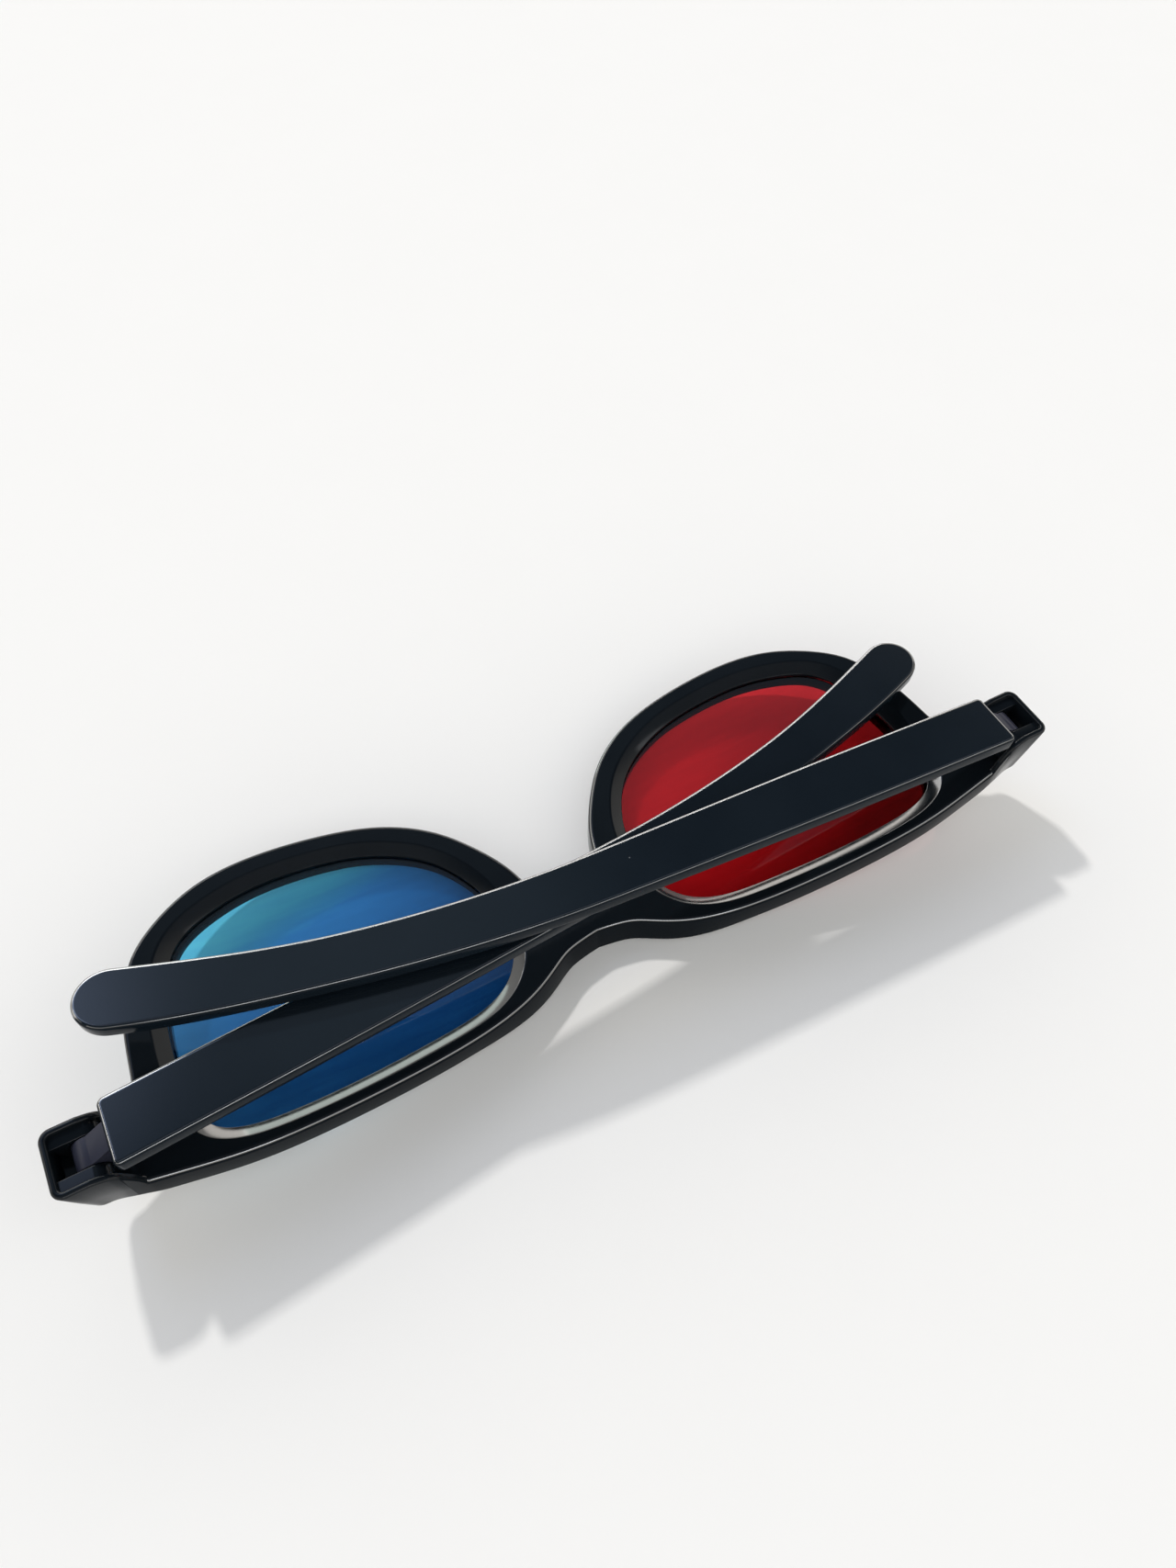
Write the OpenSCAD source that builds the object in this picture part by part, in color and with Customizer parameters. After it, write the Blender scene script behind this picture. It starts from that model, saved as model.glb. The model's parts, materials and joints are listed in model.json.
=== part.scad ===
// Folding anaglyph glasses: a wrapped one-piece front, two snapped-in lenses, two temples on pin hinges.
// The glasses lie on the face of the front, temples folded, as when they are put down on a table.
// X runs across the face, Y from the brow to the foot of the rims, and Z from the face to the back.

/* [Lenses] */
// Width of each lens opening
lens_w = 46.2; // [43:0.2:50]
// Height of each lens opening
lens_h = 33.4; // [30:0.2:38]
// Thickness of each lens
lens_t = 1.6; // [1.2:0.1:2]
// Depth of the groove that holds the lens edge
groove_d = 0.8; // [0.5:0.1:1.2]
// Play of a lens in its groove, all round
lens_play = 0.06; // [0.03:0.01:0.1]

/* [Front] */
// Distance between the two lens openings across the nose
bridge_w = 22.6; // [19:0.2:28]
// Thickness of the front from its face to its back
front_t = 4.8; // [4.4:0.1:6]
// Radius of the wrap of the face across the head
wrap_r = 350; // [300:10:500]
// Depth of each lens below the back of the front
lens_depth = 1.6; // [1.2:0.1:2]
// Width of the bevel that runs from the back down to each lens
bevel_w = 1.8; // [1.2:0.1:2.4]
// Thickness of the lip between the bevel and the lens
lip_t = 0.4; // [0.3:0.1:0.6]
// Radius on the edges of the face
face_edge_r = 1.2; // [0.8:0.1:1.6]
// Radius on the edges of the back
back_edge_r = 0.9; // [0.5:0.1:1.2]

/* [Rims] */
// Width of the rim over the lens, at the brow
brow_rim = 3.5; // [3:0.1:5]
// Width of the rim under the lens
low_rim = 4.6; // [3.8:0.1:6]
// Width of the rim on the temple side
side_rim = 5.2; // [4.2:0.1:7]
// Width of the rim on the nose side
nose_rim = 5.8; // [4.8:0.1:7]
// Drop of the brow line at the bridge
bridge_drop = 8.6; // [6:0.2:10]
// Height of the bridge over the nose
bridge_h = 6.6; // [5.4:0.2:9]

/* [Hinges] */
// Reach of each end-piece past the rim
endpiece_l = 10.3; // [9.6:0.1:13]
// Height of each end-piece along the brow
endpiece_h = 8.8; // [8.4:0.1:11]
// Height of the hinge line over the middle of the lens
hinge_rise = 13.75; // [11:0.25:14.5]
// Depth from the middle of the face to the back of the end-pieces
endpiece_d = 16.5; // [16:0.1:19]
// Wall round the hinge pocket
pocket_wall = 0.9; // [0.7:0.1:1.2]
// Step between the front and the wall of the end-piece
wall_step = 0.15; // [0.1:0.05:0.3]
// Distance of the pin from the outer face of the end-piece
pin_inset = 4.6; // [4.3:0.1:5]
// Diameter of the hinge pins
pin_d = 1.4; // [1:0.1:1.8]
// Radius of the hinge knuckles
knuckle_r = 1.9; // [1.7:0.1:2.1]
// Width of the knuckle on each temple
knuckle_w = 4; // [3.4:0.1:4.4]
// Clearance of the temple knuckle round the pin
pin_play = 0.05; // [0.02:0.01:0.09]
// Clearance of the front's bore round the pressed pin
pin_seat = 0.01; // [0.005:0.005:0.03]
// Clearance on each side of the temple knuckle
knuckle_play = 0.1; // [0.05:0.05:0.2]
// Clearance under the temple knuckle
floor_play = 0.35; // [0.2:0.05:0.5]
// Clearance between an open temple and its end-piece
stop_play = 0.1; // [0.05:0.05:0.2]

/* [Temples] */
// Length of each temple from its butt to its tip, along its middle
temple_l = 132; // [120:1:145]
// Thickness of each temple
temple_t = 2.5; // [2.2:0.1:3]
// Width of each temple at the hinge
temple_w = 8.7; // [8:0.1:10]
// Width of each temple at its waist, before the ear
waist_w = 6.8; // [6:0.1:8]
// Width of each temple at its ear tip
tip_w = 7.9; // [7:0.1:10]
// Distance of the butt of each temple from its pin
butt_l = 2.7; // [2.5:0.1:3]
// Slope of the temple that lies over the other when folded
over_slope = 2.3; // [1.5:0.1:3]
// Slope of the temple that lies under the other when folded
under_slope = 3.9; // [3:0.1:4.5]
// Length of the straight run of each temple
straight_l = 65; // [55:1:75]
// Radius of the bend over the ear
ear_r = 212; // [180:2:300]
// Radius on the edges of the temples
temple_edge_r = 0.7; // [0.4:0.1:1]
// Gap between the folded temples where they cross
cross_gap = 0.75; // [0.5:0.05:1]

/* [Hidden] */
$fn = 64;

// Sides of the wide cylinders that carry the wrap
wrap_fn = 240;
// Steps along each stretch of a smooth outline
rim_steps = 3;
brow_steps = 8;
lens_steps = 6;
slope_steps = 4;
// Steps along the run of a temple, and the flat left at its tip
run_steps = 20;
tip_flat = 0.02;
// Angles of the steps round a rounded edge, from its face to its side
edge_angles = [0, 30, 60, 90];
// Extra reach of the cutting shapes
over = 1;
// Reach of the bevel's cutter, as a share of the bevel
past_back = 1.5;
// Radius of the end-piece's corners beyond the radius of its edges
corner_spare = 0.3;
// Start of the end-piece's walls past the rim
wall_start = 1;
// Depth that the walls are sunk into the back of the front
wall_sink = 0.6;
// Radius at the corners of each temple's butt, and the length over which the butt turns square
butt_r = 0.9;
butt_turn = 8;
// Step from the outer face of a temple down to its neck, length of the neck's root in the temple
neck_step = 0.9;
neck_root = 3;
// Rise of the neck's lower side towards the temple
neck_rise = 0.3;
// Chamfer at the ends of the pins
pin_chamfer = 0.2;

// Places that follow from the sizes
lens_x = (bridge_w + lens_w) / 2;
lens_y = (brow_rim - low_rim) / 2;
rim_x = bridge_w / 2 + lens_w + side_rim;
half_w = rim_x + endpiece_l;
nose_x = bridge_w / 2 - nose_rim;
dip_y = lens_y - lens_h / 2 - brow_rim + bridge_drop;
arch_y = dip_y + bridge_h;
lens_back = front_t - lens_depth;
lens_face = lens_back - lens_t;
bevel_foot = lens_back + lens_play + lip_t;
hinge_x = half_w - pin_inset;
hinge_y = lens_y - hinge_rise;
hinge_z = endpiece_d + stop_play - butt_l;
floor_z = hinge_z - knuckle_r - floor_play;
pocket_h = endpiece_h - 2 * pocket_wall;
slot_w = knuckle_w + 2 * knuckle_play;
corner_r = max(face_edge_r, back_edge_r) + corner_spare;
wall_in_x = rim_x + wall_start;
temple_face = pin_inset - stop_play;
fold = atan((temple_t + cross_gap) / (2 * hinge_x));
pin_near = -pocket_h / 2;
pin_far = endpiece_h / 2 - pocket_wall / 2;

// Height of the wrapped surface that lies d behind the face
function wrap_z(x, d) = wrap_r - sqrt(pow(wrap_r - d, 2) - x * x);

// Catmull-Rom curve between p1 and p2
function curve_at(p0, p1, p2, p3, t) =
    p1 + t / 2 * (p2 - p0 + t * (2 * p0 - 5 * p1 + 4 * p2 - p3 + t * (3 * p1 - p0 - 3 * p2 + p3)));
function smooth_loop(p, n) = let (m = len(p))
    [for (i = [0:m - 1], k = [0:n - 1])
        curve_at(p[(i + m - 1) % m], p[i], p[(i + 1) % m], p[(i + 2) % m], k / n)];
function smooth_line(p, n) = let (m = len(p)) concat(
    [for (i = [0:m - 2], k = [0:n - 1])
        curve_at(p[max(i - 1, 0)], p[i], p[i + 1], p[min(i + 2, m - 1)], k / n)],
    [p[m - 1]]);

// Moves a loop that runs counter-clockwise outwards by d
function outward(p, i) =
    let (m = len(p), a = p[(i + m - 1) % m], b = p[(i + 1) % m], t = (b - a) / norm(b - a))
    [t[1], -t[0]];
function grown(p, d) = [for (i = [0:len(p) - 1]) p[i] + d * outward(p, i)];

// Insets and depths of the layers that round both edges of a plate of thickness t
function edge_layers(t, r_low, r_high) = concat(
    [for (a = edge_angles) [r_low * (1 - sin(a)), r_low * (1 - cos(a))]],
    [for (i = [len(edge_angles) - 1:-1:0]) let (a = edge_angles[i])
        [r_high * (1 - sin(a)), t - r_high * (1 - cos(a))]]);

// Solid through a stack of loops, which run counter-clockwise, from the lowest to the highest
module loft(loops) {
    m = len(loops[0]);
    top = len(loops) - 1;
    function quad(a, b, c, d) = [[a, b, c], [a, c, d]];
    sides = [for (j = [0:top - 1], i = [0:m - 1]) let (n = (i + 1) % m)
        each quad(j * m + i, (j + 1) * m + i, (j + 1) * m + n, j * m + n)];
    floor_cap = [for (i = [0:ceil(m / 2) - 2]) each
        2 * i + 3 == m ? [[i, i + 1, i + 2]] : quad(i, i + 1, m - 2 - i, m - 1 - i)];
    top_cap = [for (f = floor_cap) [for (k = [2, 1, 0]) f[k] + top * m]];
    polyhedron([for (l = loops, p = l) p], concat(sides, floor_cap, top_cap), convexity = 8);
}

// Solid between two wrapped surfaces, which lie d_low and d_high behind the face
module wrap_shell(d_low, d_high) {
    translate([0, 0, wrap_r]) rotate([90, 0, 0]) difference() {
        cylinder(r = wrap_r - d_low, h = 3 * lens_h, center = true, $fn = wrap_fn);
        cylinder(r = wrap_r - d_high, h = 4 * lens_h, center = true, $fn = wrap_fn);
    }
}

// Lens outline on the +X side, as shares of the half width and half height of the opening
lens_shape = [[-1, -0.2], [-0.94, -0.6], [-0.7, -0.855], [-0.2, -0.955], [0.45, -1], [0.82, -0.95],
    [0.97, -0.75], [1, -0.3], [0.95, 0.25], [0.8, 0.69], [0.5, 0.92], [0.12, 1], [-0.35, 0.925],
    [-0.72, 0.66], [-0.93, 0.26]];
lens_loop = smooth_loop([for (p = lens_shape) [lens_x + p[0] * lens_w / 2, lens_y + p[1] * lens_h / 2]],
    lens_steps);

// Points round a rim on the +X side, as shares of the half lens with its rim
function rim_side(u) = lens_x + u * (lens_w / 2 + (u < 0 ? nose_rim : side_rim));
function brow_point(u, v) = [rim_side(u), lens_y + v * (lens_h / 2 + brow_rim)];
function foot_point(u, v) = [rim_side(u), lens_y + v * (lens_h / 2 + low_rim)];
// Points round the outer corner of the end-piece, drawn in by d, on the side of sign s
function corner(s, d = 0) = let (r = corner_r - d, edge = endpiece_h / 2 - d)
    [for (a = [0:30:90]) [half_w - d - r * (1 - sin(a)), hinge_y + s * (edge - r * (1 - cos(a)))]];
function reversed(p) = [for (i = [len(p) - 1:-1:0]) p[i]];
// Points along the end-piece, as shares of its reach and height, on the side of sign s
function end_point(u, v, s) = [rim_x + u * endpiece_l, hinge_y + s * v * endpiece_h / 2];
brow_line = concat(smooth_line([[0, dip_y], [0.73 * nose_x, dip_y - 0.07 * bridge_drop],
    [1.22 * nose_x, dip_y - 0.2 * bridge_drop], brow_point(-0.8, -0.79), brow_point(-0.545, -0.9),
    brow_point(-0.13, -0.965), brow_point(0.48, -1), brow_point(0.8, -0.965), end_point(0.22, 1.06, -1),
    end_point(0.58, 1, -1)], brow_steps), corner(-1));
foot_line = concat(smooth_line([[0, arch_y], [0.6 * nose_x, arch_y + 0.14 * bridge_h],
    [0.93 * nose_x, arch_y + 0.55 * bridge_h], foot_point(-0.985, 0.06), foot_point(-0.935, 0.245),
    foot_point(-0.81, 0.51), foot_point(-0.665, 0.715), foot_point(-0.46, 0.875), foot_point(-0.2, 0.965),
    foot_point(0.13, 1), foot_point(0.41, 0.955), foot_point(0.62, 0.83), foot_point(0.8, 0.64),
    foot_point(0.9, 0.44), foot_point(0.975, 0.115), foot_point(1, -0.2), end_point(0.07, 1.3, 1),
    end_point(0.25, 1.02, 1), end_point(0.58, 1, 1)], rim_steps), corner(1));

// Outline of the whole front, with the brow and the foot at the same places across it
last = len(foot_line) - 1;
stations = [for (i = [-last:last]) let (x = foot_line[abs(i)][0]) [sign(i) * x, x]];
front_loop = concat(
    [for (s = stations) [s[0], lookup(s[1], brow_line)]],
    [for (i = [2 * last:-1:0]) [stations[i][0], foot_line[abs(i - last)][1]]]);

module wrapped_plate() {
    loft([for (e = edge_layers(front_t, face_edge_r, back_edge_r))
        [for (p = grown(front_loop, -e[0])) [p[0], p[1], wrap_z(p[0], e[1])]]]);
}

// Cutter for the +X lens: its opening, its groove and the bevel behind it, as steps of [reach, depth]
module lens_seat() {
    low = lens_face - lens_play;
    high = lens_back + lens_play;
    bevel_rise = front_t - bevel_foot;
    steps = [[0, -over], [0, low], [groove_d, low], [groove_d, high], [0, high], [0, bevel_foot],
        [past_back * bevel_w, bevel_foot + past_back * bevel_rise]];
    loft([for (k = steps) [for (p = grown(lens_loop, k[0])) [p[0], p[1], wrap_z(p[0], k[1])]]]);
}

module lens_blank() {
    intersection() {
        linear_extrude(endpiece_d) polygon(grown(lens_loop, groove_d - lens_play));
        wrap_shell(lens_face, lens_back);
    }
}

// Runs a profile drawn in X and Z along Y, over a width w about y
module along_y(y, w) {
    translate([0, y + w / 2, 0]) rotate([90, 0, 0]) linear_extrude(w) children();
}

// Walls of the +X end-piece, before the pocket is cut
module endpiece_walls() {
    base = [for (x = [wall_in_x, half_w]) [x, wrap_z(x, front_t / 2)]];
    half_h = endpiece_h / 2 - wall_step;
    slope = smooth_line([[hinge_x + 0.07 * butt_l, endpiece_d],
        [hinge_x - 0.6 * butt_l, endpiece_d - 0.27 * butt_l], [hinge_x - 1.1 * butt_l, endpiece_d - butt_l],
        [wall_in_x, wrap_z(wall_in_x, front_t - wall_sink)]], slope_steps);
    intersection() {
        along_y(hinge_y, endpiece_h) polygon(concat(base, [[half_w, endpiece_d]], slope));
        linear_extrude(endpiece_d + over) polygon(concat([[wall_in_x, hinge_y - half_h]],
            corner(-1, wall_step), reversed(corner(1, wall_step)), [[wall_in_x, hinge_y + half_h]]));
    }
}

// Two knuckles of the front, one on each side of the slot for the temple
module front_knuckles() {
    knuckle_l = (pocket_h - slot_w) / 2 + pocket_wall / 4;
    top_h = hinge_z + knuckle_r - floor_z + over;
    for (s = [-1, 1]) along_y(hinge_y + s * (slot_w + knuckle_l) / 2, knuckle_l) {
        translate([hinge_x, hinge_z]) circle(knuckle_r);
        translate([hinge_x, floor_z - over]) square([pin_inset - pocket_wall / 2, top_h]);
        translate([hinge_x - knuckle_r, floor_z - over]) square([2 * knuckle_r, hinge_z - floor_z + over]);
    }
}

// Round hole along the hinge line, from y = low to y = high
module hinge_bore(r, low, high) {
    translate([hinge_x, hinge_y + high, hinge_z]) rotate([90, 0, 0]) cylinder(r = r, h = high - low);
}

module both_sides() {
    children();
    mirror([1, 0, 0]) children();
}

module front_frame() {
    color("#14161b") difference() {
        union() {
            difference() {
                union() {
                    wrapped_plate();
                    both_sides() endpiece_walls();
                }
                both_sides() translate([wall_in_x - over, hinge_y - pocket_h / 2, floor_z])
                    cube([half_w - pocket_wall - wall_in_x + over, pocket_h, endpiece_d]);
            }
            both_sides() front_knuckles();
        }
        both_sides() lens_seat();
        both_sides() hinge_bore(pin_d / 2 + pin_seat, pin_near, endpiece_h / 2 + over);
    }
}

module lens_left() {
    color("#b0181f") lens_blank();
}

module lens_right() {
    color("#1f6fae") mirror([1, 0, 0]) lens_blank();
}

// Middle line of a temple: straight from the butt, then bent on a circle over the ear
function temple_mid(s, slope) =
    let (b = max(s - straight_l, 0), a = slope + b / ear_r * 180 / PI, f = min(s, straight_l))
    [f * cos(slope) + ear_r * (sin(a) - sin(slope)), f * sin(slope) + ear_r * (cos(slope) - cos(a)), a];
function ease(t) = let (k = min(max(t, 0), 1)) k * k * (3 - 2 * k);
// Half the width of a temple, drawn in to a round tip and eased at the corners of the butt
waist_s = 0.76 * temple_l;
taper_s = 0.15 * temple_l;
tip_s = temple_l - 0.55 * tip_w;
function temple_half(s) =
    let (body = temple_w + (waist_w - temple_w) * ease((s - taper_s) / (waist_s - taper_s)),
         w = body + (tip_w - waist_w) * ease((s - waist_s) / (tip_s - waist_s)),
         k = max(s - tip_s, 0) / (temple_l - tip_s),
         q = max(butt_r - s, 0) / butt_r)
    w / 2 * sqrt(max(1 - k * k, 0)) - butt_r * (1 - sqrt(1 - q * q));
// Places along a temple, closer together at the butt and round the tip
temple_steps = concat([for (a = [0:30:90]) butt_r * (1 - cos(a))],
    [for (k = [1:run_steps]) butt_r + k / run_steps * (tip_s - butt_r)],
    [for (a = [15:15:75]) tip_s + (temple_l - tip_s) * sin(a)], [temple_l - tip_flat]);
function temple_edge(s, side, slope) =
    let (m = temple_mid(s, slope), h = side * temple_half(s), turn = m[2] * ease(s / butt_turn))
    [-butt_l - m[0] + h * sin(turn), m[1] + h * cos(turn)];
function temple_loop(slope) = concat([for (s = temple_steps) temple_edge(s, 1, slope)],
    reversed([for (s = temple_steps) temple_edge(s, -1, slope)]));

// Knuckle and neck of a temple, drawn about its pin with the temple lying towards -X
module temple_neck() {
    low = temple_face - temple_t;
    top = temple_face - neck_step;
    along_y(0, knuckle_w) {
        circle(knuckle_r);
        polygon([[0, knuckle_r], [-butt_l, top], [-butt_l - neck_root, top],
            [-butt_l - neck_root, low + 2 * neck_rise], [-butt_l, low + neck_rise],
            [-knuckle_r * cos(30), -knuckle_r * sin(30)], [0, 0]]);
    }
}

// Temple of the +X side about its pin, tilted by angle from lying flat
module temple(angle, slope) {
    translate([hinge_x, hinge_y, hinge_z]) rotate([0, angle, 0]) difference() {
        union() {
            loft([for (e = edge_layers(temple_t, temple_edge_r, temple_edge_r))
                [for (p = grown(temple_loop(slope), -e[0])) [p[0], p[1], temple_face - temple_t + e[1]]]]);
            temple_neck();
        }
        rotate([90, 0, 0]) cylinder(r = pin_d / 2 + pin_play, h = knuckle_w + over, center = true);
    }
}

module temple_left() {
    color("#20242c") temple(fold, over_slope);
}

module temple_right() {
    color("#20242c") mirror([1, 0, 0]) temple(-fold, under_slope);
}

// Pressed steel pin, chamfered at both ends
module hinge_pin() {
    r = pin_d / 2;
    c = pin_chamfer;
    l = pin_far - pin_near - 2 * pin_seat;
    translate([hinge_x, hinge_y + pin_far - pin_seat, hinge_z]) rotate([90, 0, 0]) rotate_extrude()
        polygon([[0, 0], [r - c, 0], [r, c], [r, l - c], [r - c, l], [0, l]]);
}

module pin_left() {
    color("#b9bcc0") hinge_pin();
}

module pin_right() {
    color("#b9bcc0") mirror([1, 0, 0]) hinge_pin();
}

front_frame();
lens_left();
lens_right();
temple_left();
temple_right();
pin_left();
pin_right();
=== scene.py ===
import bisect
import json
import math

import bmesh
import bpy
from mathutils import Matrix, Vector


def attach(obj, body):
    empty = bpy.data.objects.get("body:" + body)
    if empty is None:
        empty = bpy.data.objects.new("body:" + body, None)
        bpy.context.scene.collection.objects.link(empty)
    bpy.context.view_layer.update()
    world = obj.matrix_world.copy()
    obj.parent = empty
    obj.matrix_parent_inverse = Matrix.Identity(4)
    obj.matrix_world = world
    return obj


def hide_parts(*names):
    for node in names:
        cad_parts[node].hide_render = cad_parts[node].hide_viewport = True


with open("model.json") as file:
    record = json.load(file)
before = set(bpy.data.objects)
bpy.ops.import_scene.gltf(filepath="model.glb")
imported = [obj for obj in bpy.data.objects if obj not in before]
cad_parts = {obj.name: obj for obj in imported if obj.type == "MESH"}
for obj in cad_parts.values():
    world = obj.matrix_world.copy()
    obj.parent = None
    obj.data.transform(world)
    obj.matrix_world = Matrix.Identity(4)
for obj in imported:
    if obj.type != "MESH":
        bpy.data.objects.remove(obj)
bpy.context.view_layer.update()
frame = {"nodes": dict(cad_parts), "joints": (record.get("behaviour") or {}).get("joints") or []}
mm = 0.001
print("frame loaded")


# Small helpers

def metres(p):
    return Vector((p[0] * mm, p[1] * mm, p[2] * mm))


def clearSelection():
    if bpy.context.object and bpy.context.object.mode != "OBJECT":
        bpy.ops.object.mode_set(mode="OBJECT")
    bpy.ops.object.select_all(action="DESELECT")


def pickPiece(piece):
    clearSelection()
    piece.select_set(True)
    bpy.context.view_layer.objects.active = piece


def curveAt(p0, p1, p2, p3, t):  # Catmull-Rom between p1 and p2
    bend = 2 * p0 - 5 * p1 + 4 * p2 - p3 + t * (3 * p1 - p0 - 3 * p2 + p3)
    return p1 + t / 2 * (p2 - p0 + t * bend)


def smoothLine(points, steps):
    p = [Vector(q) for q in points]
    last = len(p) - 1
    line = []
    for i in range(last):
        for k in range(steps):
            line.append(curveAt(p[max(i - 1, 0)], p[i], p[i + 1], p[min(i + 2, last)], k / steps))
    return line + [p[last]]


def smoothLoop(points, steps):
    p = [Vector(q) for q in points]
    n = len(p)
    return [curveAt(p[i - 1], p[i], p[(i + 1) % n], p[(i + 2) % n], k / steps)
            for i in range(n) for k in range(steps)]


def relaxed(line, reach):  # evens out small waves, the ends stay
    last = len(line) - 1
    result = []
    for i in range(last + 1):
        k = min(reach, i, last - i)
        near = line[i - k:i + k + 1]
        result.append(sum(near, Vector((0, 0))) / len(near))
    return result


def ease(t):
    k = min(max(t, 0), 1)
    return k * k * (3 - 2 * k)


def spaced(line, gap):  # the same line with points about gap(point) apart
    found = [line[0]]
    run = 0
    for a, b in zip(line, line[1:]):
        run += (b - a).length
        if run >= gap(b):
            found.append(b)
            run = 0
    if (found[-1] - line[-1]).length < gap(line[-1]) / 2:
        found.pop()
    return found + [line[-1]]


def wrapZ(x, d):  # height of the wrapped surface that lies d behind the face
    return front["wrapR"] - math.sqrt((front["wrapR"] - d) ** 2 - x * x)


def selectParts(piece, kind, wanted):  # kind is "edges" or "faces"
    mesh = bmesh.from_edit_mesh(piece.data)
    bpy.ops.mesh.select_all(action="DESELECT")
    for part in getattr(mesh, kind):
        if wanted(part):
            part.select_set(True)
    bmesh.update_edit_mesh(piece.data)


def editMode(kind):
    bpy.ops.object.mode_set(mode="EDIT")
    bpy.ops.mesh.select_mode(type=kind)


def faceOutward():
    bpy.ops.mesh.select_all(action="SELECT")
    bpy.ops.mesh.normals_make_consistent(inside=False)


def extrudeBy(x, y, z):
    bpy.ops.mesh.extrude_region_move(TRANSFORM_OT_translate={"value": (x * mm, y * mm, z * mm)})


def roundEdges(radius, segments):
    bpy.ops.mesh.bevel(offset=radius * mm, offset_type="OFFSET", segments=segments, profile=0.5, affect="EDGES")


def applyModifier(piece, kind, **values):
    pickPiece(piece)
    modifier = piece.modifiers.new(kind.lower(), kind)
    for key, value in values.items():
        setattr(modifier, key, value)
    bpy.ops.object.modifier_apply(modifier=modifier.name)


def joinPieces(main, others):
    pickPiece(main)
    for o in others:
        o.select_set(True)
    bpy.ops.object.join()
    return main


def giveFinishes(piece, finishes):
    for material in finishes:
        piece.data.materials.append(material)


def finishPiece(piece, name, body, node, angle=40):
    pickPiece(piece)
    piece.name = name
    piece.data.name = name
    bpy.ops.object.shade_smooth_by_angle(angle=math.radians(angle))
    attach(piece, body)
    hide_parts(node)
    print(name, len(piece.data.polygons), "faces")


# Finishes

def newMaterial(name):
    material = bpy.data.materials.new(name)
    material.use_nodes = True
    nodes = material.node_tree.nodes
    return material, nodes, material.node_tree.links, nodes["Principled BSDF"]


def addSocket(group, name, kind, way, value=None):
    socket = group.interface.new_socket(name=name, in_out=way, socket_type=kind)
    if value is not None:
        socket.default_value = value


def mapRange(nodes, links, source, low, high, outLow, outHigh):
    node = nodes.new("ShaderNodeMapRange")
    node.inputs["From Min"].default_value = low
    node.inputs["From Max"].default_value = high
    node.inputs["To Min"].default_value = outLow
    node.inputs["To Max"].default_value = outHigh
    links.new(source, node.inputs["Value"])
    return node.outputs["Result"]


def noise(nodes, links, coords, scale, detail=3, rough=0.55):
    node = nodes.new("ShaderNodeTexNoise")
    node.inputs["Scale"].default_value = scale
    node.inputs["Detail"].default_value = detail
    node.inputs["Roughness"].default_value = rough
    links.new(coords, node.inputs["Vector"])
    return node.outputs["Fac"]


def stretched(nodes, links, coords, scale, turn=0):
    node = nodes.new("ShaderNodeMapping")
    node.inputs["Rotation"].default_value = (0, 0, math.radians(turn))
    node.inputs["Scale"].default_value = scale
    links.new(coords, node.inputs["Vector"])
    return node.outputs["Vector"]


def alongWay(nodes, links, coords, way):  # how far a place lies along a direction
    node = nodes.new("ShaderNodeVectorMath")
    node.operation = "DOT_PRODUCT"
    links.new(coords, node.inputs[0])
    node.inputs[1].default_value = way
    return node.outputs["Value"]


def mathNode(nodes, links, operation, a, b):  # a and b are sockets or numbers
    node = nodes.new("ShaderNodeMath")
    node.operation = operation
    for socket, value in zip(node.inputs, (a, b)):
        if isinstance(value, (int, float)):
            socket.default_value = value
        else:
            links.new(value, socket)
    return node.outputs["Value"]


def mixColour(nodes, links, factor, a, b):  # a and b are sockets or colours
    node = nodes.new("ShaderNodeMix")
    node.data_type = "RGBA"
    links.new(factor, node.inputs["Factor"])
    for socket, value in (("A", a), ("B", b)):
        if isinstance(value, tuple):
            node.inputs[socket].default_value = (*value, 1)
        else:
            links.new(value, node.inputs[socket])
    return node.outputs["Result"]


def makeMouldedSkin():  # fine grain, soft blotches and dust of moulded plastic
    group = bpy.data.node_groups.new("mouldedSkin", "ShaderNodeTree")
    addSocket(group, "Grain Scale", "NodeSocketFloat", "INPUT", 3000)
    addSocket(group, "Blotch Scale", "NodeSocketFloat", "INPUT", 60)
    addSocket(group, "Dust Scale", "NodeSocketFloat", "INPUT", 260)
    addSocket(group, "Dust Size", "NodeSocketFloat", "INPUT", 0.05)
    for name in ("Grain", "Blotch", "Dust"):
        addSocket(group, name, "NodeSocketFloat", "OUTPUT")
    nodes, links = group.nodes, group.links
    given = nodes.new("NodeGroupInput")
    result = nodes.new("NodeGroupOutput")
    coords = nodes.new("ShaderNodeTexCoord").outputs["Object"]
    for name, detail in (("Grain", 2), ("Blotch", 4)):
        node = nodes.new("ShaderNodeTexNoise")
        node.inputs["Detail"].default_value = detail
        links.new(coords, node.inputs["Vector"])
        links.new(given.outputs[name + " Scale"], node.inputs["Scale"])
        links.new(node.outputs["Fac"], result.inputs[name])
    specks = nodes.new("ShaderNodeTexVoronoi")
    links.new(coords, specks.inputs["Vector"])
    links.new(given.outputs["Dust Scale"], specks.inputs["Scale"])
    near = mathNode(nodes, links, "LESS_THAN", specks.outputs["Distance"], given.outputs["Dust Size"])
    some = mathNode(nodes, links, "GREATER_THAN", specks.outputs["Color"], 0.72)  # only a few cells hold a speck
    links.new(mathNode(nodes, links, "MULTIPLY", near, some), result.inputs["Dust"])
    return group


mouldedSkin = makeMouldedSkin()


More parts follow.
